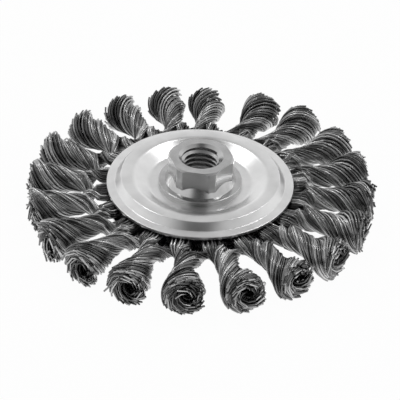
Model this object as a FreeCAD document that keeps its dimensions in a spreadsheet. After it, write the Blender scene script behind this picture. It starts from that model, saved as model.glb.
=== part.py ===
import FreeCAD, Part
import math
import os
import Sketcher
from types import SimpleNamespace

# Twisted-knot wire wheel brush for an angle grinder, in millimetres.
# The origin is the centre of the wheel, midway between its two side plates. +Z runs along the
# spindle axis towards the nut, and the first wire knot points along +X.

document = FreeCAD.newDocument("wire_wheel_brush")


class Size:
    """A length with the spreadsheet expression that it comes from."""

    def __init__(self, value, text):
        self.value = value
        self.text = text

    def joined(self, sign, value, text):
        return Size(value, f"({self.text} {sign} {text})")

    def __add__(self, other):
        return self.joined("+", self.value + other.value, other.text)

    def __sub__(self, other):
        return self.joined("-", self.value - other.value, other.text)

    def __truediv__(self, number):
        return self.joined("/", self.value / number, number)

    def __neg__(self):
        return Size(-self.value, f"(-1 * {self.text})")


NOTHING = Size(0.0, "0")
UP = FreeCAD.Vector(0, 0, 1)
OUT = FreeCAD.Vector(1, 0, 0)
ALONG_RIM = FreeCAD.Vector(0, 1, 0)

# Shares and counts that shape the facets of a knot
SECTION_SIDES = 6
SHOULDER_SHARE = 0.35
CROWN_PLACE = 0.6
CROWN_SHARE = 0.8
LOOP_BREADTH = 0.75
LOOP_DEPTH_SHARE = 0.62
BEND_REACH = 0.72
PARTED_SHARE = 0.78
CLOSING_STEPS = 4
SECTION_TURN = 24
FILL_RATE = 1.4
END_FILL = 0.7

SIZES = {
    # The wheel and its knots
    "wheel_radius": 62.5,  # spindle axis to the knots' end faces
    "knot_count": 20,  # wire knots round the wheel
    "twist_rate": 12.0,  # degrees that a knot turns for each millimetre outwards
    "parting_radius": 36.2,  # where a leg comes clear of the next knot's leg
    "join_radius": 42.0,  # where the two legs of a knot close on each other
    "join_angle": 120.0,  # turn of the legs where they close, in degrees
    "join_width": 9.2,  # width of a knot where its legs close
    "waist_share": 0.22,  # place of the waist along the twisted stretch, as a share of it
    "waist_width": 8.3,  # width of a knot at its waist
    "end_width": 15.6,  # width of a knot at its flared end
    "end_round": 2.0,  # rounding of the flared end
    "end_hollow": 1.4,  # depth of the hollow in the middle of the end
    "groove_share": 0.72,  # depth of the groove between two legs, as a share of the radius
    "leg_width": 7.2,  # width of a leg as it leaves the side plates
    "leg_thickness": 3.1,  # thickness of a leg as it leaves the side plates
    "leg_offset": 4.2,  # sideways offset of a leg as it leaves the side plates
    "leg_gap": 0.28,  # clearance between the upper and the lower legs
    "loop_thickness": 1.9,  # thickness of a leg over the core disc
    "wire_clearance": 0.3,  # clearance of the wire loops over the core disc
    # The core disc that carries the knots
    "core_radius": 29.0,  # outer radius of the core disc
    "core_thickness": 1.6,  # thickness of the core disc at its holes
    "hub_radius": 17.0,  # radius of the core disc's hub, which the side plates rest on
    "hub_thickness": 5.3,  # thickness of the hub
    "hole_circle": 25.0,  # spindle axis to the holes that hold the knots
    "hole_diameter": 5.5,  # hole for one knot
    "hole_play": 0.2,  # clearance between a wire loop and its hole
    # The two dished side plates
    "sheet_thickness": 1.2,  # sheet that the side plates are pressed from
    "lip_radius": 34.1,  # outer radius of the side plates
    "lip_gap": 0.15,  # clearance between a side plate's lip and the legs
    "lip_width": 1.9,  # flat lip at the edge of a side plate
    "slope_width": 2.7,  # slope between the lip and the raised band
    "band_width": 5.0,  # raised band round a side plate
    "band_rise": 2.6,  # rise of the raised band over the lip
    "wall_width": 5.6,  # dished wall between the raised band and the floor
    "bend_radius": 1.2,  # bend at the edges of the raised band
    # The threaded nut
    "stem_radius": 9.6,  # stem of the nut that passes through the plates
    "stem_play": 0.1,  # clearance round the stem
    "flange_radius": 15.2,  # flange that clamps the upper plate
    "flange_edge": 1.6,  # height of the flange's edge
    "skirt_foot": 13.3,  # radius at which the flange's cone starts
    "skirt_height": 3.2,  # height of that cone
    "skirt_radius": 10.9,  # upper radius of that cone
    "across_flats": 22.0,  # width of the hexagon
    "nut_height": 11.5,  # upper plate's floor to the nut's face
    "corner_bevel": 1.6,  # bevel down each corner of the hexagon
    "face_radius": 10.2,  # flat ring of the nut's face
    "cone_radius": 12.8,  # radius to which the face is turned down, past the hexagon's corners
    "cone_drop": 1.5,  # fall of the turned face from the flat ring to that radius
    "drill_radius": 6.0,  # hole of the M14 x 2 thread before its thread is cut
    "mouth_radius": 7.5,  # countersink at both ends of the thread
    "collar_radius": 12.0,  # collar of the stem rolled over the lower plate
    "collar_height": 1.3,  # thickness of the rolled collar
}

sheet = document.addObject("Spreadsheet::Sheet", "Sizes")
for row, (alias, value) in enumerate(SIZES.items(), 1):
    sheet.set(f"A{row}", alias)
    sheet.set(f"B{row}", str(value))
    sheet.setAlias(f"B{row}", alias)
document.recompute()
size = SimpleNamespace(**{alias: Size(float(value), f"Sizes.{alias}") for alias, value in SIZES.items()})

# Heights that follow from the stack of core disc, side plates and nut
core_top = size.core_thickness / 2
hub_top = size.hub_thickness / 2
floor_top = hub_top + size.sheet_thickness
lip_top = size.leg_gap / 2 + size.leg_thickness + size.lip_gap + size.sheet_thickness
band_top = lip_top + size.band_rise
nut_top = floor_top + size.nut_height
skirt_top = floor_top + size.flange_edge + size.skirt_height
collar_bottom = -(floor_top + size.collar_height)


def origin_plane(body, role):
    return next(plane for plane in body.Origin.OriginFeatures if plane.Role == role)


def new_body(name):
    body = document.addObject("PartDesign::Body", name)
    body.Label = name
    return body


def new_sketch(body, name, role):
    sketch = body.newObject("Sketcher::SketchObject", name)
    sketch.AttachmentSupport = [(origin_plane(body, role), "")]
    sketch.MapMode = "FlatFace"
    return sketch


def bind(sketch, constraint, length):
    """Adds a constraint and ties its value to the sheet."""
    index = sketch.addConstraint(constraint)
    sketch.setExpression(f"Constraints[{index}]", length.text)


def outline(sketch, corners):
    """Draws a closed outline whose corners are each held by two sizes."""
    points = [FreeCAD.Vector(x.value, y.value, 0) for x, y in corners]
    for start, end in zip(points, points[1:] + points[:1]):
        sketch.addGeometry(Part.LineSegment(start, end))
    for edge in range(len(points)):
        following = (edge + 1) % len(points)
        sketch.addConstraint(Sketcher.Constraint("Coincident", edge, 2, following, 1))
    for edge, (x, y) in enumerate(corners):
        bind(sketch, Sketcher.Constraint("DistanceX", -1, 1, edge, 1, x.value), x)
        bind(sketch, Sketcher.Constraint("DistanceY", -1, 1, edge, 1, y.value), y)


def circle(sketch, x, radius):
    """Draws a circle on the sketch's horizontal axis."""
    centre = FreeCAD.Vector(x.value, 0, 0)
    edge = sketch.addGeometry(Part.Circle(centre, FreeCAD.Vector(0, 0, 1), radius.value))
    if x is NOTHING:
        sketch.addConstraint(Sketcher.Constraint("Coincident", edge, 3, -1, 1))
    else:
        sketch.addConstraint(Sketcher.Constraint("PointOnObject", edge, 3, -1))
        bind(sketch, Sketcher.Constraint("DistanceX", -1, 1, edge, 3, x.value), x)
    bind(sketch, Sketcher.Constraint("Radius", edge, radius.value), radius)


def turned(body, name, kind, corners):
    """Turns an outline of radii and heights once round the spindle axis."""
    sketch = new_sketch(body, f"{name}_outline", "XZ_Plane")
    outline(sketch, corners)
    feature = body.newObject(kind, name)
    feature.Profile = sketch
    feature.ReferenceAxis = (sketch, ["V_Axis"])
    document.recompute()
    return feature


def dressed(body, name, kind, measure, length, wanted):
    """Rounds or bevels the edges of the body's tip for which wanted is true."""
    tip = body.Tip
    edges = [f"Edge{number}" for number, edge in enumerate(tip.Shape.Edges, 1) if wanted(edge)]
    feature = body.newObject(kind, name)
    feature.Base = (tip, edges)
    feature.setExpression(measure, length.text)
    document.recompute()
    return feature


def same(first, second):
    """True for two lengths that are equal but for rounding."""
    return abs(first - second) < Part.Precision.confusion()


def rounds_axis(edge, radius, height):
    """True for an edge that circles the spindle axis at this radius and height."""
    curve = edge.Curve
    if not isinstance(curve, Part.Circle):
        return False
    return same(curve.Radius, radius.value) and same(curve.Center.z, height.value)


def side_plate(name, side):
    """One dished plate, from its bore out to its lip. side is 1 above the wires and -1 below."""
    bore = size.stem_radius + size.stem_play
    slope_foot = size.lip_radius - size.lip_width
    band_outer = slope_foot - size.slope_width
    band_inner = band_outer - size.band_width
    floor_edge = band_inner - size.wall_width
    outside = [
        (size.lip_radius, lip_top),
        (slope_foot, lip_top),
        (band_outer, band_top),
        (band_inner, band_top),
        (floor_edge, floor_top),
        (bore, floor_top),
    ]
    inside = [(radius, height - size.sheet_thickness) for radius, height in reversed(outside)]
    corners = outside + inside
    if side < 0:
        corners = [(radius, -height) for radius, height in corners]
    body = new_body(name)
    turned(body, f"{name}_sheet", "PartDesign::Revolution", corners)
    crown = band_top if side > 0 else -band_top
    dressed(
        body, f"{name}_bends", "PartDesign::Fillet", "Radius", size.bend_radius,
        lambda edge: rounds_axis(edge, band_outer, crown) or rounds_axis(edge, band_inner, crown),
    )
    return body


def core_disc():
    """The disc that the wire knots are looped through, with the hub that the plates clamp."""
    body = new_body("core_disc")
    bore = size.stem_radius + size.stem_play
    turned(body, "hub_and_web", "PartDesign::Revolution", [
        (bore, -hub_top),
        (size.hub_radius, -hub_top),
        (size.hub_radius, -core_top),
        (size.core_radius, -core_top),
        (size.core_radius, core_top),
        (size.hub_radius, core_top),
        (size.hub_radius, hub_top),
        (bore, hub_top),
    ])
    knot_hole = new_sketch(body, "knot_hole", "XY_Plane")
    circle(knot_hole, size.hole_circle, size.hole_diameter / 2)
    pocket = body.newObject("PartDesign::Pocket", "knot_hole_cut")
    pocket.Profile = knot_hole
    pocket.Type = "ThroughAll"
    pocket.Midplane = True
    pattern = body.newObject("PartDesign::PolarPattern", "knot_holes")
    pattern.Originals = [pocket]
    pattern.Axis = (knot_hole, ["N_Axis"])
    pattern.Angle = 360
    pattern.setExpression("Occurrences", size.knot_count.text)
    body.Tip = pattern
    document.recompute()
    return body


def upright(edge):
    """True for an edge that climbs, as the corners of the nut's hexagon do."""
    return not same(edge.Vertexes[0].Z, edge.Vertexes[-1].Z)


def threaded_nut():
    """The flanged nut: its stem passes through the plates and is rolled over below them."""
    body = new_body("threaded_nut")
    hexagon = new_sketch(body, "hexagon", "XY_Plane")
    hexagon.setExpression(".AttachmentOffset.Base.z", (floor_top + size.flange_edge).text)
    corner = size.across_flats.value / 2 / math.cos(math.pi / 6)
    places = [
        FreeCAD.Vector(corner * math.cos(turn * math.pi / 3), corner * math.sin(turn * math.pi / 3), 0)
        for turn in range(6)
    ]
    for start, end in zip(places, places[1:] + places[:1]):
        hexagon.addGeometry(Part.LineSegment(start, end))
    for side in range(6):
        hexagon.addConstraint(Sketcher.Constraint("Coincident", side, 2, (side + 1) % 6, 1))
    guide = hexagon.addGeometry(Part.Circle(FreeCAD.Vector(), FreeCAD.Vector(0, 0, 1), corner), True)
    hexagon.addConstraint(Sketcher.Constraint("Coincident", guide, 3, -1, 1))
    for side in range(6):
        hexagon.addConstraint(Sketcher.Constraint("PointOnObject", side, 1, guide))
    for side in range(5):
        hexagon.addConstraint(Sketcher.Constraint("Equal", side, side + 1))
    hexagon.addConstraint(Sketcher.Constraint("PointOnObject", 0, 1, -1))
    bind(hexagon, Sketcher.Constraint("Distance", 1, 1, 4, 1, size.across_flats.value), size.across_flats)
    grip = body.newObject("PartDesign::Pad", "hexagon_grip")
    grip.Profile = hexagon
    grip.setExpression("Length", (size.nut_height - size.flange_edge).text)
    document.recompute()
    dressed(body, "corner_bevels", "PartDesign::Chamfer", "Size", size.corner_bevel, upright)
    turned(body, "flange_and_stem", "PartDesign::Revolution", [
        (NOTHING, collar_bottom),
        (size.collar_radius, collar_bottom),
        (size.collar_radius, -floor_top),
        (size.stem_radius, -floor_top),
        (size.stem_radius, floor_top),
        (size.flange_radius, floor_top),
        (size.flange_radius, floor_top + size.flange_edge),
        (size.skirt_foot, floor_top + size.flange_edge),
        (size.skirt_radius, skirt_top),
        (NOTHING, skirt_top),
    ])
    turned(body, "turned_face", "PartDesign::Groove", [
        (size.face_radius, nut_top),
        (size.cone_radius, nut_top - size.cone_drop),
        (size.cone_radius, nut_top),
    ])
    countersink = size.mouth_radius - size.drill_radius
    turned(body, "thread_hole", "PartDesign::Groove", [
        (NOTHING, collar_bottom),
        (size.mouth_radius, collar_bottom),
        (size.drill_radius, collar_bottom + countersink),
        (size.drill_radius, nut_top - countersink),
        (size.mouth_radius, nut_top),
        (NOTHING, nut_top),
    ])
    return body


def blend(start, end, share):
    """The value that lies this share of the way from start to end; numbers or vectors."""
    return start + (end - start) * share


def leg_section(centre, outwards, sideways, half_width, half_depth):
    """Section of one leg: a flat back towards its partner and a rounded front."""
    back = -outwards * half_depth
    shoulder = outwards * half_depth * SHOULDER_SHARE
    crown = outwards * half_depth * CROWN_SHARE
    edge = sideways * half_width
    return [
        centre - edge + back,
        centre - edge + shoulder,
        centre - edge * CROWN_PLACE + crown,
        centre + outwards * half_depth,
        centre + edge * CROWN_PLACE + crown,
        centre + edge + shoulder,
        centre + edge + back,
    ]


def directions(angle):
    """Directions away from a knot's middle line and across its leg, at this turn in degrees."""
    turn = math.radians(angle)
    outwards = FreeCAD.Vector(0, -math.sin(turn), math.cos(turn))
    sideways = FreeCAD.Vector(0, math.cos(turn), math.sin(turn))
    return outwards, sideways


def strand_section(radius, angle, width, groove):
    """One leg's half of a closed knot: its back lies on the knot's middle line."""
    outwards, sideways = directions(angle)
    middle = FreeCAD.Vector(radius, 0, 0)
    points = []
    for side in range(SECTION_SIDES + 1):
        place = math.pi * (1 - side / SECTION_SIDES)
        reach = width / 2 * (groove if side in (0, SECTION_SIDES) else 1)
        points.append(middle + sideways * reach * math.cos(place) + outwards * reach * math.sin(place))
    return points


def leg_sections():
    """The upper leg from the middle of its hole in the core disc to where the knot closes."""
    rim = size.lip_radius.value + size.lip_gap.value
    over_disc = core_top.value + size.wire_clearance.value
    free_radius = size.hole_diameter.value / 2 - size.hole_play.value
    hole_half = free_radius * LOOP_BREADTH
    rim_half = size.leg_width.value / 2
    loop_half = size.loop_thickness.value / 2
    leg_half = size.leg_thickness.value / 2
    leg_middle = size.leg_gap.value / 2 + leg_half

    def placed(radius, height, outwards, half_depth):
        """A section that spreads from the hole's width and middle to the rim's."""
        share = (radius - size.hole_circle.value) / (rim - size.hole_circle.value)
        centre = FreeCAD.Vector(radius, -size.leg_offset.value * share, height)
        return leg_section(centre, outwards, ALONG_RIM, blend(hole_half, rim_half, share), half_depth)

    leaning = (UP - OUT).normalize()
    bend = FreeCAD.Vector(size.hole_circle.value + free_radius * BEND_REACH, 0, over_disc) + leaning * loop_half
    parting = FreeCAD.Vector(
        size.parting_radius.value,
        rim_half * PARTED_SHARE - size.parting_radius.value * math.sin(math.pi / size.knot_count.value),
        leg_middle,
    )
    sections = [
        placed(size.hole_circle.value, 0, -OUT, free_radius * LOOP_DEPTH_SHARE),
        leg_section(bend, leaning, ALONG_RIM, hole_half, loop_half),
        placed(size.core_radius.value - size.wire_clearance.value, over_disc + loop_half, UP, loop_half),
        placed((size.lip_radius - size.lip_width).value, leg_middle, UP, leg_half),
        placed(rim, leg_middle, UP, leg_half),
        leg_section(parting, UP, ALONG_RIM, rim_half * PARTED_SHARE, leg_half),
    ]
    closed_reach = size.join_width.value / 2
    closed = FreeCAD.Vector(size.join_radius.value, 0, 0) + directions(size.join_angle.value)[0] * closed_reach / 2
    for step in range(1, CLOSING_STEPS):
        share = step / CLOSING_STEPS
        outwards, sideways = directions(size.join_angle.value * share)
        half_width = blend(rim_half * PARTED_SHARE, closed_reach * size.groove_share.value, share)
        half_depth = blend(leg_half, closed_reach / 2, share ** 2)
        sections.append(leg_section(blend(parting, closed, share), outwards, sideways, half_width, half_depth))
    return sections


def eased(share):
    """Goes from 0 to 1 as the share does, level at both ends."""
    return share * share * (3 - 2 * share)


def knot_width(share):
    """Width of the closed knot at this share of its length: narrow at the waist, then flared."""
    waist_share = size.waist_share.value
    if share < waist_share:
        return blend(size.join_width.value, size.waist_width.value, share / waist_share)
    flared = (share - waist_share) / (1 - waist_share)
    return blend(size.waist_width.value, size.end_width.value, eased(flared))


def strand_sections():
    """The twisted stretch of the upper leg, from the join to the rounded end of the knot."""
    flared = size.wheel_radius.value - size.end_round.value
    length = flared - size.join_radius.value
    count = math.ceil(length * size.twist_rate.value / SECTION_TURN)
    sections = []
    for step in range(count + 1):
        share = step / count
        radius = size.join_radius.value + length * share
        angle = size.join_angle.value + size.twist_rate.value * length * share
        groove = blend(size.groove_share.value, 1, share ** FILL_RATE * END_FILL)
        sections.append(strand_section(radius, angle, knot_width(share), groove))
    last_angle = size.join_angle.value + size.twist_rate.value * (size.wheel_radius.value - size.join_radius.value)
    face_width = size.end_width.value - 2 * size.end_round.value
    sections.append(strand_section(size.wheel_radius.value, last_angle, face_width, groove))
    return sections


class Facets:
    """Flat facets between rings of points, gathered into one solid."""

    def __init__(self):
        self.points = []
        self.triangles = []

    def ring(self, points):
        """Adds a ring of points and returns their numbers."""
        first = len(self.points)
        self.points.extend(points)
        return list(range(first, len(self.points)))

    def wall(self, inner, outer):
        """Closes the space between two rings, each patch folded away from the knot's middle line."""
        count = len(inner)
        for index in range(count):
            a, b = inner[index], inner[(index + 1) % count]
            c, d = outer[(index + 1) % count], outer[index]
            if self.fold_distance(a, c) > self.fold_distance(b, d):
                self.triangles += [(a, d, c), (a, c, b)]
            else:
                self.triangles += [(a, d, b), (b, d, c)]

    def fold_distance(self, first, second):
        """How far the middle of a fold between two points lies from the knot's middle line."""
        middle = (self.points[first] + self.points[second]) / 2
        return math.hypot(middle.y, middle.z)

    def cap(self, ring, middle):
        """Closes a ring towards one point."""
        centre = self.ring([middle])[0]
        for index, number in enumerate(ring):
            self.triangles.append((number, centre, ring[(index + 1) % len(ring)]))

    def solid(self):
        shell = Part.Shape()
        shell.makeShapeFromMesh((self.points, self.triangles), Part.Precision.confusion())
        solid = Part.makeSolid(shell)
        if solid.Volume < 0:
            solid.reverse()
        return solid


def partner(points):
    """The same points on the knot's other leg: half a turn about the knot's middle line."""
    return [FreeCAD.Vector(point.x, -point.y, -point.z) for point in points]


def knot_solid():
    """One knot along +X: a bundle of wire looped through the core disc, its two legs twisted."""
    facets = Facets()
    legs = leg_sections()
    strands = strand_sections()
    closed_rings = [facets.ring(points + partner(points)[1:-1]) for points in strands]
    half = len(strands[0])
    upper_end = closed_rings[0][:half]
    lower_end = closed_rings[0][half - 1:] + closed_rings[0][:1]
    loop = facets.ring(legs[0])
    upper = [loop] + [facets.ring(points) for points in legs[1:]] + [upper_end]
    lower = [loop[::-1]] + [facets.ring(partner(points)) for points in legs[1:]] + [lower_end]
    for rings in (upper, lower, closed_rings):
        for inner, outer in zip(rings, rings[1:]):
            facets.wall(inner, outer)
    facets.cap(closed_rings[-1], FreeCAD.Vector(size.wheel_radius.value - size.end_hollow.value, 0, 0))
    return facets.solid()


def wire_knots():
    """The ring of knots, each a node of its own."""
    knot = knot_solid()
    knots = []
    for number in range(int(size.knot_count.value)):
        name = f"wire_knot_{number + 1:02d}"
        feature = document.addObject("Part::Feature", name)
        feature.Label = name
        feature.Shape = knot
        turn = FreeCAD.Rotation(UP, 360 * number / size.knot_count.value)
        feature.Placement = FreeCAD.Placement(FreeCAD.Vector(), turn)
        knots.append(feature)
    return knots


def checked(objects):
    """Stops on a feature that failed or a sub-part that is not one sound solid."""
    document.recompute()
    for item in document.Objects:
        if "Invalid" in item.State or "Error" in item.State:
            raise RuntimeError(f"{item.Label} failed to build")
    for item in objects:
        if item.Shape.isNull() or not item.Shape.isValid() or len(item.Shape.Solids) != 1:
            raise RuntimeError(f"{item.Label} is not one sound solid")


pieces = [threaded_nut(), side_plate("upper_side_plate", 1), side_plate("lower_side_plate", -1), core_disc()]
pieces += wire_knots()
checked(pieces)
os.makedirs("parts", exist_ok=True)
for piece in pieces:
    piece.Shape.exportStep(os.path.join("parts", f"{piece.Label}.step"))
    print(piece.Label, round(piece.Shape.Volume, 1))
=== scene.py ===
import math
import random
from collections import namedtuple

import bmesh
import bpy
from mathutils import Matrix, Quaternion, Vector


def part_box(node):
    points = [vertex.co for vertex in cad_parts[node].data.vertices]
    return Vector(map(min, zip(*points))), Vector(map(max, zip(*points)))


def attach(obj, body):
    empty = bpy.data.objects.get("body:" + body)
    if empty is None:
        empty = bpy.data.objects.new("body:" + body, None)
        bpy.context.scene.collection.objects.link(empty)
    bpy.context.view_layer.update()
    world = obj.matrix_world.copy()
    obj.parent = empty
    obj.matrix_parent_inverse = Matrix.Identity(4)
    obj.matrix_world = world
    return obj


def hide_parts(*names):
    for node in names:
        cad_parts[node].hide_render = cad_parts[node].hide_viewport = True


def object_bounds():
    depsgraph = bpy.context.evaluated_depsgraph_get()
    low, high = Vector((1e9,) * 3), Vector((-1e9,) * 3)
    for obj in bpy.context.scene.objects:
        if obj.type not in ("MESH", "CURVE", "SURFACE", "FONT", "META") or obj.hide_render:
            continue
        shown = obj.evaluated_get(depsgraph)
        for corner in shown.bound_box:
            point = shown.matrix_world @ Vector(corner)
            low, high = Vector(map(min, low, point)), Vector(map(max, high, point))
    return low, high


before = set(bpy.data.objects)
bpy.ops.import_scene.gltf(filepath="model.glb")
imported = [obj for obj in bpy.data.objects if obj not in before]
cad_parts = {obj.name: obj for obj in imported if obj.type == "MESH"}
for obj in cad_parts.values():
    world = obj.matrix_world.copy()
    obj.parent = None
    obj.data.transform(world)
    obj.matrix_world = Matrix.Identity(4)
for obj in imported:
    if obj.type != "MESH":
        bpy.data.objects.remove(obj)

# Twisted-knot wire wheel brush: every knot is made of single wires, looped through the core disc
# and twisted outwards. Lengths are in metres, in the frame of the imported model: +Z runs along the
# spindle axis out of the nut, and the first knot points along +X.

MM = 0.001
CAD_LOW, CAD_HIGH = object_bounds()
KNOTS = sorted(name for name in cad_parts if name.startswith("wire_knot_"))
PITCH = math.tau / len(KNOTS)
WHEEL_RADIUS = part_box(KNOTS[0])[1].x
PLATE_LOW, PLATE_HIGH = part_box("upper_side_plate")
LIP_RADIUS = PLATE_HIGH.x
NUT_LOW, NUT_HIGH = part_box("threaded_nut")

# One wire and its bundle
WIRE_RADIUS = 0.33 * MM
WIRES = 56
HOLE_CIRCLE = 25 * MM
LOOP_HEIGHT = 2.1 * MM
LEG_OFFSET = 4.0 * MM
LEG_HEIGHT = 1.65 * MM
LEG_HALF_WIDTH = 3.5 * MM
LEG_HALF_THICKNESS = 1.4 * MM
LEG_START = LIP_RADIUS + 1.9 * MM
TWIST = math.radians(12) / MM
JOIN_TURN = math.radians(125)
JOIN_HALF = 4.3 * MM
WAIST_HALF = 3.9 * MM
FLARED = WHEEL_RADIUS - 1.3 * MM
END_HALF = 7.8 * MM
END_DOME = 2.2 * MM
END_LENGTH = 6 * MM
END_SWIRL = 1.8
BODY_STEPS = 13
MOUTH_STEPS = 7
SEAM_SHARE = 0.74
STRAY_SHARE = 0.035
# Tones below the first limit get painted shade, and from the second limit up painted highlight.
PAINTED_SHADE_BELOW = -0.3
PAINTED_HIGHLIGHT_FROM = 0.4
LOWEST_WIRE = CAD_LOW.z - 0.25 * MM

# How each knot came out of the twisting, from wire_knot_01 on, in mm: where its legs join and where
# it is thinnest, both beyond the lip; then how far it leans across at the waist and at its end, and
# how much longer it is than the wheel's radius.
Habit = namedtuple("Habit", "join waist waist_lean end_lean longer")
HABITS = [Habit(*(value * MM for value in values)) for values in (
    (7.6, 11.0, -1.0, -0.8, 1.8),
    (7.2, 10.6, -1.6, -2.2, 0.4),
    (7.2, 10.4, 0.8, 1.5, -1.2),
    (7.4, 12.0, -1.0, -0.8, 0.1),
    (7.8, 11.4, -1.2, -0.5, 0.1),
    (8.0, 11.2, -0.85, -0.3, 0.0),
    (8.2, 11.6, -0.15, 0.3, 0.9),
    (8.4, 11.4, -0.7, 0.2, 0.7),
    (8.2, 11.2, -0.8, 0.3, 0.6),
    (7.8, 11.0, -0.7, 0.2, 1.5),
    (7.6, 11.4, -1.6, -1.2, 1.2),
    (7.8, 11.2, -1.85, -1.6, 1.1),
    (8.0, 11.6, -1.7, -1.1, 0.9),
    (7.8, 11.0, -1.2, 0.7, 1.1),
    (8.4, 12.4, -0.1, 0.9, 0.7),
    (8.0, 12.0, 0.0, 0.2, 1.0),
    (7.8, 11.4, 0.0, 0.0, 1.4),
    (8.2, 11.6, 0.0, 0.2, 1.4),
    (8.0, 11.2, 0.0, 0.0, 1.3),
    (7.8, 11.4, -1.0, -1.2, 1.6),
)]

# The pressed side plates
SHEET = 1.2 * MM
BAND_TOP = PLATE_HIGH.z
LIP_TOP = BAND_TOP - 2.6 * MM
LIP_DROOP = 0.2 * MM
FLOOR_TOP = BAND_TOP - 3.34 * MM
LIP_INNER = LIP_RADIUS - 3.1 * MM
BAND_OUTER = LIP_INNER - 2.1 * MM
BAND_INNER = BAND_OUTER - 4.4 * MM
FLOOR_EDGE = BAND_INNER - 5.6 * MM
PLATE_BORE = 9.7 * MM
EDGE_BEND = 0.2 * MM
RIM_BEND = 0.2 * MM
DISH_BEND = 0.9 * MM

# The nut and its M14 x 2 thread
NUT_TOP = NUT_HIGH.z
NUT_BOTTOM = NUT_LOW.z
FLANGE_RADIUS = NUT_HIGH.x
FLANGE_TOP = FLOOR_TOP + 1.6 * MM
SKIRT_FOOT = 12.9 * MM
SKIRT_RADIUS = 10.9 * MM
SKIRT_TOP = FLANGE_TOP + 3.2 * MM
HALF_ACROSS_FLATS = 11 * MM
CORNER_CUT = 11.9 * MM
FACE_RADIUS = 11.3 * MM
CONE_RADIUS = 12.8 * MM
CONE_DROP = 1.3 * MM
STEM_RADIUS = 9.6 * MM
COLLAR_RADIUS = 12 * MM
MOUTH_RADIUS = 8.1 * MM
THREAD_ROOT = 7.05 * MM
THREAD_CREST = 6 * MM
THREAD_PITCH = 2 * MM
NUT_BEND = 0.35 * MM

# The photograph's camera
VIEW_AZIMUTH = math.radians(218.87)
VIEW_ELEVATION = math.radians(35.53)
VIEW_DISTANCE = 560.9 * MM
VIEW_ROLL = 0.0385
AIM_HEIGHT = 1.85 * MM
SENSOR = 36.0
LENS = 138.1
SHIFT_UP = -0.0341

# The studio
LAMP_TURN = math.radians(131)
LAMP_DISTANCE = 0.9
LAMP_SIZE = 0.16
LAMP_WATTS = 0.9
CURTAIN_EDGE = math.radians(32)
CURTAIN_FULL = math.radians(12)
FLOOR_GAP = 0.5 * MM
# Inside this ring round the axis the floor's glow, as the metal mirrors it, fades out, so that only the
# floor's real shade below the bore shows.
BORE_SHADE = (10 * MM, 16 * MM)


def smooth(value):
    """Eases from 0 to 1 as the value goes from 0 to 1."""
    value = min(max(value, 0.0), 1.0)
    return value * value * (3 - 2 * value)


def blend(start, end, share):
    return start + (end - start) * share


def new_material(name):
    material = bpy.data.materials.new(name)
    material.use_nodes = True
    return material, material.node_tree.nodes, material.node_tree.links


def noise_on_object(nodes, links, scale, detail=2.0, stretch=(1, 1, 1)):
    """A noise pattern that reads Object coordinates; scale is in cells for each metre."""
    coordinates = nodes.new("ShaderNodeTexCoord")
    mapping = nodes.new("ShaderNodeMapping")
    mapping.inputs["Scale"].default_value = stretch
    noise = nodes.new("ShaderNodeTexNoise")
    noise.inputs["Scale"].default_value = scale
    noise.inputs["Detail"].default_value = detail
    links.new(coordinates.outputs["Object"], mapping.inputs["Vector"])
    links.new(mapping.outputs["Vector"], noise.inputs["Vector"])
    return noise


def ramp(nodes, links, source, stops):
    """A colour ramp of greys over a noise value; stops are pairs of place and grey."""
    node = nodes.new("ShaderNodeValToRGB")
    for (place, grey), element in zip(stops, node.color_ramp.elements):
        element.position = place
        element.color = (grey, grey, grey, 1)
    links.new(source, node.inputs["Fac"])
    return node


def spread(nodes, links, source, low, high):
    """Maps a noise value of 0 to 1 onto low to high."""
    node = nodes.new("ShaderNodeMapRange")
    node.inputs["To Min"].default_value = low
    node.inputs["To Max"].default_value = high
    links.new(source, node.inputs["Value"])
    return node


def wire_steel(name, dark, light):
    """Drawn spring wire, smooth along its length, with a few duller stretches; dark and light set a
    copy's base colour, painted darker or lighter to stand in for shade and highlight.
    """
    material, nodes, links = new_material(name)
    shader = nodes["Principled BSDF"]
    shader.inputs["Metallic"].default_value = 1.0
    patches = noise_on_object(nodes, links, 110, detail=1.0)
    colour = ramp(nodes, links, patches.outputs["Fac"], [(0.3, dark), (0.7, light)])
    links.new(colour.outputs["Color"], shader.inputs["Base Color"])
    worn = noise_on_object(nodes, links, 400)
    rough = spread(nodes, links, worn.outputs["Fac"], 0.22, 0.36)
    links.new(rough.outputs["Result"], shader.inputs["Roughness"])
    return material


def plate_zinc():
    """Bright zinc on pressed sheet: satin, with a faint grain."""
    material, nodes, links = new_material("zinc_sheet")
    shader = nodes["Principled BSDF"]
    shader.inputs["Metallic"].default_value = 1.0
    clouds = noise_on_object(nodes, links, 120, detail=6.0)
    colour = ramp(nodes, links, clouds.outputs["Fac"], [(0.3, 0.72), (0.7, 0.86)])
    links.new(colour.outputs["Color"], shader.inputs["Base Color"])
    rough = spread(nodes, links, clouds.outputs["Fac"], 0.24, 0.36)
    links.new(rough.outputs["Result"], shader.inputs["Roughness"])
    grain = noise_on_object(nodes, links, 3500)
    bump = nodes.new("ShaderNodeBump")
    bump.inputs["Strength"].default_value = 0.08
    bump.inputs["Distance"].default_value = 0.02 * MM
    links.new(grain.outputs["Fac"], bump.inputs["Height"])
    links.new(bump.outputs["Normal"], shader.inputs["Normal"])
    return material


def nut_zinc():
    """Zinc on a forged and turned nut, a little darker than the plates."""
    material, nodes, links = new_material("zinc_nut")
    shader = nodes["Principled BSDF"]
    shader.inputs["Metallic"].default_value = 1.0
    clouds = noise_on_object(nodes, links, 160, detail=3.0)
    colour = ramp(nodes, links, clouds.outputs["Fac"], [(0.3, 0.46), (0.7, 0.58)])
    links.new(colour.outputs["Color"], shader.inputs["Base Color"])
    rough = spread(nodes, links, clouds.outputs["Fac"], 0.18, 0.27)
    links.new(rough.outputs["Result"], shader.inputs["Roughness"])
    return material


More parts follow.
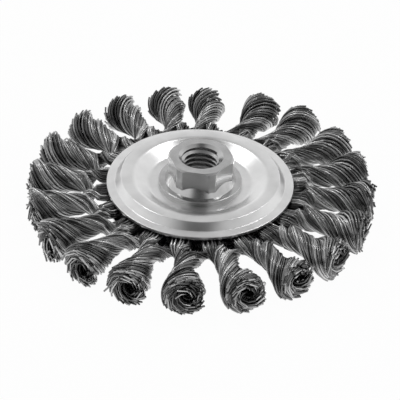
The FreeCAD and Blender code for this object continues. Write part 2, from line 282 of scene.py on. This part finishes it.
def core_sheet():
    """Plain rolled sheet of the hidden core disc."""
    material, nodes, links = new_material("rolled_sheet")
    shader = nodes["Principled BSDF"]
    shader.inputs["Metallic"].default_value = 1.0
    scale = noise_on_object(nodes, links, 200, detail=4.0)
    colour = ramp(nodes, links, scale.outputs["Fac"], [(0.3, 0.28), (0.7, 0.4)])
    links.new(colour.outputs["Color"], shader.inputs["Base Color"])
    shader.inputs["Roughness"].default_value = 0.45
    return material


def section_turn(radius, join):
    """How far the bundle has turned about the knot's middle line at this distance from the axis."""
    if radius < LEG_START:
        return 0.0
    if radius > join:
        return JOIN_TURN + (radius - join) * TWIST
    length = join - LEG_START
    share = (radius - LEG_START) / length
    return JOIN_TURN * smooth(share) - TWIST * length * share ** 2 * (1 - share)


def knot_half_width(radius, join, waist):
    """Half the width of the closed bundle at this distance from the spindle axis."""
    if radius < waist:
        return blend(JOIN_HALF, WAIST_HALF, smooth((radius - join) / (waist - join)))
    return blend(WAIST_HALF, END_HALF, smooth((radius - waist) / (FLARED - waist)))


def bundle_places(generator):
    """Places of the wires in the round bundle, as pairs across and out from its middle line."""
    places = []
    for index in range(2 * WIRES):
        distance = math.sqrt((index + 0.5) / (2 * WIRES))
        angle = index * math.pi * (3 - math.sqrt(5))
        distance = min(distance + generator.uniform(-0.03, 0.03), 1.0)
        places.append((distance * math.cos(angle), distance * math.sin(angle)))
    upper = sorted(place for place in places if place[1] > 0)
    lower = sorted((-across, -out) for across, out in places if out <= 0)
    return list(zip(upper, reversed(lower)))


def leg_point(radius, across, out, habit, wander):
    """A point of one wire in the upper leg; across and out are its place in the round bundle."""
    join = LIP_RADIUS + habit.join
    turn = section_turn(radius, join) + wander[0]
    flat = 1 - smooth((radius - LEG_START - 0.5 * MM) / (join - LEG_START))
    side = across / math.sqrt(max(1 - out * out, 0.05))
    half_width = knot_half_width(radius, join, LIP_RADIUS + habit.waist)
    seam = blend(SEAM_SHARE, 1, min(out / 0.5, 1))
    along = blend(across * seam * half_width, side * LEG_HALF_WIDTH, flat)
    away = blend(out * half_width, (2 * out - 1) * LEG_HALF_THICKNESS, flat)
    away += wander[1] * (1 - 0.5 * flat)
    middle_y = -LEG_OFFSET * flat
    middle_z = LEG_HEIGHT * flat
    return Vector((
        radius,
        middle_y + along * math.cos(turn) - away * math.sin(turn) + wander[2],
        middle_z + along * math.sin(turn) + away * math.cos(turn),
    ))


def leaned(point, habit):
    """Moves a point with the way its knot leans, and keeps it above the sheet it stands on."""
    waist = LIP_RADIUS + habit.waist
    late = smooth((point.x - waist) / (WHEEL_RADIUS - waist))
    lean = habit.waist_lean * smooth((point.x - LIP_RADIUS) / habit.waist)
    lean += (habit.end_lean - habit.waist_lean) * late
    return Vector((point.x, point.y + lean, max(point.z, LOWEST_WIRE)))


def hidden_points(across):
    """The stretch of a wire between the plates, from the middle of its hole to the rim."""
    share = (across + 1) / 2
    half = blend(-1.7, 1.7, share) * MM
    return [
        Vector((HOLE_CIRCLE, half, 0)),
        Vector((HOLE_CIRCLE + 0.6 * MM, half - 0.2 * MM, LOOP_HEIGHT - 0.4 * MM)),
        Vector((HOLE_CIRCLE + 2.6 * MM, 1.3 * half - 1.2 * MM, LOOP_HEIGHT)),
        Vector((HOLE_CIRCLE + 5.6 * MM, 1.7 * half - 3.0 * MM, 0.72 * LOOP_HEIGHT)),
    ]


def stations(end):
    """Distances from the spindle axis at which a wire gets a point, closer together in the mouth."""
    start = LIP_RADIUS - 0.8 * MM
    mouth = WHEEL_RADIUS - END_LENGTH
    body = [blend(start, mouth, step / BODY_STEPS) for step in range(BODY_STEPS)]
    return body + [blend(mouth, end, step / MOUTH_STEPS) for step in range(MOUTH_STEPS + 1)]


def leg_points(place, habit, generator):
    """One wire's way through the upper leg, from the hole to its cut end in the flared mouth."""
    across, out = place
    reach = math.hypot(across, out)
    end_reach = reach ** 0.4
    end = WHEEL_RADIUS + habit.longer - END_DOME * end_reach ** 3 + generator.uniform(-0.7, 0.5) * MM
    points = hidden_points(across)
    phase = generator.uniform(0, math.tau)
    lift = generator.uniform(0.0, 0.14) * MM
    pace = generator.uniform(0.15, 0.35) / MM
    swirl = generator.uniform(-0.15, 0.25) + END_SWIRL * (1 - reach ** 2)
    stray = generator.uniform(0.8, 2.2) * MM if generator.random() < STRAY_SHARE else 0
    for radius in stations(end):
        loose = smooth((radius - LIP_RADIUS) / (4 * MM))
        near_end = max(radius - WHEEL_RADIUS + END_LENGTH, 0) ** 2 / END_LENGTH ** 2
        bulge = lift * loose * math.sin(pace * (radius - LIP_RADIUS) + phase)
        drift = lift * loose * math.cos(pace * (radius - LIP_RADIUS) * 0.8 + phase)
        opened = blend(1, end_reach / reach, near_end)
        wander = (swirl * near_end, bulge, drift)
        point = leg_point(radius, across * opened, out * opened, habit, wander)
        spring = 1 + stray * near_end ** 2 / (end_reach * END_HALF)
        points.append(Vector((point.x, point.y * spring, point.z * spring)))
    return points


def painted_streak(place, phase):
    """A wire's painted tone, so that wires with painted highlight and wires with painted shade lie in
    groups round the knot, as streaks of light and shade.
    """
    angle = math.atan2(place[1], place[0])
    return 0.75 * math.sin(3 * angle + phase) + 0.45 * math.sin(8 * angle + 3 * phase)


def painted_light_copy(tone):
    """Which copy of the steel a wire gets, painted shade, middle or painted highlight, as its tone
    rises.
    """
    if tone < PAINTED_SHADE_BELOW:
        return 0
    return 1 if tone < PAINTED_HIGHLIGHT_FROM else 2


def add_wire(curve, points):
    spline = curve.splines.new("POLY")
    spline.points.add(len(points) - 1)
    for target, point in zip(spline.points, points):
        target.co = (*point, 1)


def wire_knot(number, node, materials):
    """One knot: wires that run out from one end, in through the core disc's hole and out again."""
    generator = random.Random(100 + number)
    habit = HABITS[number]
    curve = bpy.data.curves.new(f"{node}_wires", "CURVE")
    curve.dimensions = "3D"
    curve.bevel_depth = WIRE_RADIUS
    curve.bevel_resolution = 1
    curve.use_fill_caps = True
    for material in materials:
        curve.materials.append(material)
    turn = Matrix.Rotation(PITCH * number, 3, "Z")
    phase = generator.uniform(0, math.tau)
    for upper, lower in bundle_places(generator):
        outward = leg_points(upper, habit, generator)
        returning = [Vector((p.x, -p.y, -p.z)) for p in leg_points(lower, habit, generator)]
        add_wire(curve, [turn @ leaned(point, habit) for point in returning[:0:-1] + outward])
        # Each wire takes one of the three copies, painted shade, middle or painted highlight, grouped
        # round the knot.
        tone = painted_streak(upper, phase) + generator.uniform(-0.45, 0.45)
        curve.splines[-1].material_index = painted_light_copy(tone)
    piece = bpy.data.objects.new(f"{node}_wires", curve)
    bpy.context.scene.collection.objects.link(piece)
    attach(piece, "root")
    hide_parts(node)
    return piece


def finished(name, shape, material, nodes_replaced, smooth_below=35):
    """Turns a bmesh into a piece of the object that stands for CAD nodes."""
    bmesh.ops.remove_doubles(shape, verts=shape.verts, dist=0.001 * MM)
    bmesh.ops.recalc_face_normals(shape, faces=shape.faces)
    mesh = bpy.data.meshes.new(name)
    shape.to_mesh(mesh)
    shape.free()
    mesh.shade_smooth()
    mesh.set_sharp_from_angle(angle=math.radians(smooth_below))
    mesh.materials.append(material)
    piece = bpy.data.objects.new(name, mesh)
    bpy.context.scene.collection.objects.link(piece)
    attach(piece, "root")
    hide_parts(*nodes_replaced)
    return piece


def closed_profile(shape, corners, bends):
    """Draws a closed outline of radii and heights; bends are pairs of a size and its corners."""
    points = [shape.verts.new((radius, 0, height)) for radius, height in corners]
    for start, end in zip(points, points[1:] + points[:1]):
        shape.edges.new((start, end))
    for bend, rounded in bends:
        bmesh.ops.bevel(
            shape, geom=[points[index] for index in rounded], offset=bend, offset_type="OFFSET",
            segments=5, profile=0.5, affect="VERTICES", material=-1,
        )


def spun(shape, steps):
    """Turns everything drawn so far once round the spindle axis."""
    drawn = list(shape.verts) + list(shape.edges)
    bmesh.ops.spin(
        shape, geom=drawn, cent=(0, 0, 0), axis=(0, 0, 1), angle=math.tau, steps=steps, use_merge=True,
    )


def side_plate(name, side, material):
    """A dished plate pressed from sheet, with soft bends; side is 1 above the wires and -1 below."""
    top = [
        (LIP_RADIUS, LIP_TOP - LIP_DROOP),
        (LIP_INNER, LIP_TOP),
        (BAND_OUTER, BAND_TOP),
        (BAND_INNER, BAND_TOP),
        (FLOOR_EDGE, FLOOR_TOP),
        (PLATE_BORE, FLOOR_TOP),
    ]
    corners = top + [(radius, height - SHEET) for radius, height in reversed(top)]
    shape = bmesh.new()
    closed_profile(shape, corners, [
        (EDGE_BEND, (0, 11)),
        (RIM_BEND, (1, 2, 9, 10)),
        (DISH_BEND, (3, 4, 7, 8)),
    ])
    spun(shape, 128)
    if side < 0:
        bmesh.ops.transform(shape, matrix=Matrix.Diagonal((1, 1, -1, 1)), verts=shape.verts)
    return finished(name, shape, material, [name])


def is_upright_corner(edge):
    """Whether an edge is one of the hexagon's long corners, where two of its sides meet."""
    start, end = (corner.co for corner in edge.verts)
    beside = math.hypot(start.x - end.x, start.y - end.y)
    outside = math.hypot(start.x, start.y) > HALF_ACROSS_FLATS + 0.5 * MM
    return outside and beside < 0.01 * MM and abs(start.z - end.z) > 2 * MM


def nut_grip():
    """The hexagon: a turned blank cut by its six flats and its six bevelled corners."""
    shape = bmesh.new()
    closed_profile(shape, [
        (THREAD_ROOT, FLANGE_TOP),
        (CONE_RADIUS, FLANGE_TOP),
        (CONE_RADIUS, NUT_TOP - CONE_DROP),
        (FACE_RADIUS, NUT_TOP),
        (MOUTH_RADIUS, NUT_TOP),
        (THREAD_ROOT, NUT_TOP - MOUTH_RADIUS + THREAD_ROOT),
    ], [])
    spun(shape, 120)
    for turn in range(12):
        angle = math.radians(30 * turn)
        outwards = Vector((math.cos(angle), math.sin(angle), 0))
        distance = CORNER_CUT if turn % 2 == 0 else HALF_ACROSS_FLATS
        cut = bmesh.ops.bisect_plane(
            shape, geom=shape.verts[:] + shape.edges[:] + shape.faces[:], dist=0.0001 * MM,
            plane_co=outwards * distance, plane_no=outwards, clear_outer=True,
        )
        rim = [item for item in cut["geom_cut"] if isinstance(item, bmesh.types.BMEdge)]
        bmesh.ops.contextual_create(shape, geom=rim)
    upright = [edge for edge in shape.edges if is_upright_corner(edge)]
    bmesh.ops.bevel(
        shape, geom=upright, offset=NUT_BEND, offset_type="OFFSET", segments=3, profile=0.5,
        affect="EDGES", material=-1,
    )
    return shape


def nut_stem():
    """The turned part of the nut: skirt, flange, stem and the collar rolled over the lower plate."""
    shape = bmesh.new()
    closed_profile(shape, [
        (THREAD_ROOT, NUT_BOTTOM + MOUTH_RADIUS - THREAD_ROOT),
        (MOUTH_RADIUS, NUT_BOTTOM),
        (COLLAR_RADIUS, NUT_BOTTOM),
        (COLLAR_RADIUS, -FLOOR_TOP),
        (STEM_RADIUS, -FLOOR_TOP),
        (STEM_RADIUS, FLOOR_TOP),
        (FLANGE_RADIUS, FLOOR_TOP),
        (FLANGE_RADIUS, FLANGE_TOP),
        (SKIRT_FOOT, FLANGE_TOP),
        (SKIRT_RADIUS, SKIRT_TOP),
        (THREAD_ROOT, SKIRT_TOP),
    ], [(NUT_BEND, (2, 7))])
    spun(shape, 128)
    return shape


def nut_thread():
    """The ridge of the thread, run out into the countersinks at both ends."""
    shape = bmesh.new()
    steps_per_turn = 60
    start = NUT_BOTTOM + 0.4 * MM
    turns = (NUT_TOP - NUT_BOTTOM - 2.6 * MM) / THREAD_PITCH
    profile = [
        (THREAD_ROOT + 0.1 * MM, start),
        (THREAD_ROOT + 0.1 * MM, start + 1.8 * MM),
        (THREAD_CREST, start + 1.1 * MM),
        (THREAD_CREST, start + 0.7 * MM),
    ]
    face = shape.faces.new([shape.verts.new((radius, 0, height)) for radius, height in profile])
    steps = round(turns * steps_per_turn)
    bmesh.ops.spin(
        shape, geom=[face, *face.verts, *face.edges], cent=(0, 0, 0), axis=(0, 0, 1),
        dvec=(0, 0, THREAD_PITCH / steps_per_turn), angle=math.tau * steps / steps_per_turn, steps=steps,
    )
    for corner in shape.verts:
        radius = math.hypot(corner.co.x, corner.co.y)
        depth = min(NUT_TOP - corner.co.z, corner.co.z - NUT_BOTTOM)
        least = MOUTH_RADIUS - depth
        if radius < least:
            corner.co.x *= least / radius
            corner.co.y *= least / radius
    return shape


def direction_to(azimuth, elevation):
    """The direction from the wheel's middle to something around it."""
    return Vector((
        math.cos(azimuth) * math.cos(elevation),
        math.sin(azimuth) * math.cos(elevation),
        math.sin(elevation),
    ))


def camera_direction():
    return direction_to(VIEW_AZIMUTH, VIEW_ELEVATION)


def camera():
    """Stands where the photograph was taken from."""
    back = camera_direction()
    data = bpy.data.cameras.new("photo_camera")
    data.sensor_width = SENSOR
    data.lens = LENS
    data.shift_y = SHIFT_UP
    stand = bpy.data.objects.new("photo_camera", data)
    stand.location = back * VIEW_DISTANCE + Vector((0, 0, AIM_HEIGHT))
    stand.rotation_mode = "QUATERNION"
    stand.rotation_quaternion = (-back).to_track_quat("-Z", "Y") @ Quaternion((0, 0, 1), VIEW_ROLL)
    bpy.context.scene.collection.objects.link(stand)
    bpy.context.scene.camera = stand


def lamp(name, azimuth, elevation):
    """A soft square lamp that faces the wheel."""
    back = direction_to(azimuth, elevation)
    data = bpy.data.lights.new(name, "AREA")
    data.size = LAMP_SIZE
    data.energy = LAMP_WATTS
    item = bpy.data.objects.new(name, data)
    item.location = back * LAMP_DISTANCE
    item.rotation_mode = "QUATERNION"
    item.rotation_quaternion = back.to_track_quat("Z", "Y")
    bpy.context.scene.collection.objects.link(item)


def surroundings():
    """A studio whose walls darken towards the ceiling, with a dark curtain behind the camera."""
    world = bpy.data.worlds.new("studio")
    bpy.context.scene.world = world
    world.use_nodes = True
    nodes, links = world.node_tree.nodes, world.node_tree.links
    direction = nodes.new("ShaderNodeTexCoord")
    parts = nodes.new("ShaderNodeSeparateXYZ")
    squared = nodes.new("ShaderNodeMath")
    squared.operation = "MULTIPLY"
    walls = spread(nodes, links, squared.outputs["Value"], 1.0, 0.2)
    camera_side = nodes.new("ShaderNodeVectorMath")
    camera_side.operation = "DOT_PRODUCT"
    camera_side.inputs[1].default_value = camera_direction()
    curtain = nodes.new("ShaderNodeMapRange")
    curtain.interpolation_type = "SMOOTHSTEP"
    curtain.inputs["From Min"].default_value = math.cos(CURTAIN_EDGE)
    curtain.inputs["From Max"].default_value = math.cos(CURTAIN_FULL)
    curtain.inputs["To Min"].default_value = 1.0
    curtain.inputs["To Max"].default_value = 0.08
    light = nodes.new("ShaderNodeMath")
    light.operation = "MULTIPLY"
    links.new(direction.outputs["Generated"], camera_side.inputs[0])
    links.new(camera_side.outputs["Value"], curtain.inputs["Value"])
    links.new(direction.outputs["Generated"], parts.inputs["Vector"])
    links.new(parts.outputs["Z"], squared.inputs[0])
    links.new(parts.outputs["Z"], squared.inputs[1])
    links.new(walls.outputs["Result"], light.inputs[0])
    links.new(curtain.outputs["Result"], light.inputs[1])
    links.new(light.outputs["Value"], nodes["Background"].inputs["Color"])


def floor():
    """A wide white sheet under the wheel, which the metal mirrors as dark below the nut's bore, where
    the glow it shows to mirrored rays fades out and leaves the floor's own shade.
    """
    mesh = bpy.data.meshes.new("floor")
    shape = bmesh.new()
    bmesh.ops.create_grid(shape, x_segments=1, y_segments=1, size=4)
    bmesh.ops.translate(shape, verts=shape.verts, vec=(0, 0, LOWEST_WIRE - FLOOR_GAP))
    shape.to_mesh(mesh)
    shape.free()
    material, nodes, links = new_material("white_floor")
    shader = nodes["Principled BSDF"]
    shader.inputs["Base Color"].default_value = (0.8, 0.8, 0.8, 1)
    shader.inputs["Roughness"].default_value = 1.0
    glow = nodes.new("ShaderNodeEmission")
    path = nodes.new("ShaderNodeLightPath")
    mirrored = nodes.new("ShaderNodeMath")
    mirrored.operation = "MAXIMUM"
    seen = nodes.new("ShaderNodeMath")
    seen.operation = "MAXIMUM"
    coordinates = nodes.new("ShaderNodeTexCoord")
    distance = nodes.new("ShaderNodeVectorMath")
    distance.operation = "LENGTH"
    # Fades the mirrored glow out below the bore, leaving the floor's real shade there instead of painted
    # white.
    bore_glow_fade = nodes.new("ShaderNodeMapRange")
    bore_glow_fade.interpolation_type = "SMOOTHSTEP"
    bore_glow_fade.inputs["From Min"].default_value = BORE_SHADE[0]
    bore_glow_fade.inputs["From Max"].default_value = BORE_SHADE[1]
    mirrored_glow_faded = nodes.new("ShaderNodeMath")
    mirrored_glow_faded.operation = "MULTIPLY"
    amount = nodes.new("ShaderNodeMath")
    amount.operation = "MULTIPLY"
    amount.inputs[1].default_value = 0.97
    mix = nodes.new("ShaderNodeMixShader")
    links.new(path.outputs["Is Glossy Ray"], mirrored.inputs[0])
    links.new(path.outputs["Is Transmission Ray"], mirrored.inputs[1])
    links.new(path.outputs["Is Camera Ray"], seen.inputs[0])
    links.new(mirrored.outputs["Value"], mirrored_glow_faded.inputs[0])
    links.new(bore_glow_fade.outputs["Result"], mirrored_glow_faded.inputs[1])
    links.new(mirrored_glow_faded.outputs["Value"], seen.inputs[1])
    links.new(seen.outputs["Value"], amount.inputs[0])
    links.new(coordinates.outputs["Object"], distance.inputs[0])
    links.new(distance.outputs["Value"], bore_glow_fade.inputs["Value"])
    links.new(amount.outputs["Value"], mix.inputs["Fac"])
    links.new(shader.outputs["BSDF"], mix.inputs[1])
    links.new(glow.outputs["Emission"], mix.inputs[2])
    links.new(mix.outputs["Shader"], nodes["Material Output"].inputs["Surface"])
    mesh.materials.append(material)
    item = bpy.data.objects.new("floor", mesh)
    bpy.context.scene.collection.objects.link(item)


bpy.context.scene.view_settings.view_transform = "Standard"
camera()
surroundings()
floor()
lamp("left_lamp", VIEW_AZIMUTH - LAMP_TURN, math.radians(58))
lamp("right_lamp", VIEW_AZIMUTH + LAMP_TURN, math.radians(60))

# Three copies of one steel, whose base colours are painted shade, middle and painted highlight.
wire_materials = [
    wire_steel("painted_shade_wire", 0.09, 0.19),
    wire_steel("painted_mid_wire", 0.19, 0.33),
    wire_steel("painted_highlight_wire", 0.4, 0.66),
]
for knot_number, knot_node in enumerate(KNOTS):
    wire_knot(knot_number, knot_node, wire_materials)

zinc = plate_zinc()
side_plate("upper_side_plate", 1, zinc)
side_plate("lower_side_plate", -1, zinc)
bright = nut_zinc()
finished("nut_grip", nut_grip(), bright, ["threaded_nut"])
finished("nut_stem", nut_stem(), bright, ["threaded_nut"])
finished("nut_thread", nut_thread(), bright, ["threaded_nut"])
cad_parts["core_disc"].data.materials.clear()
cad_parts["core_disc"].data.materials.append(core_sheet())
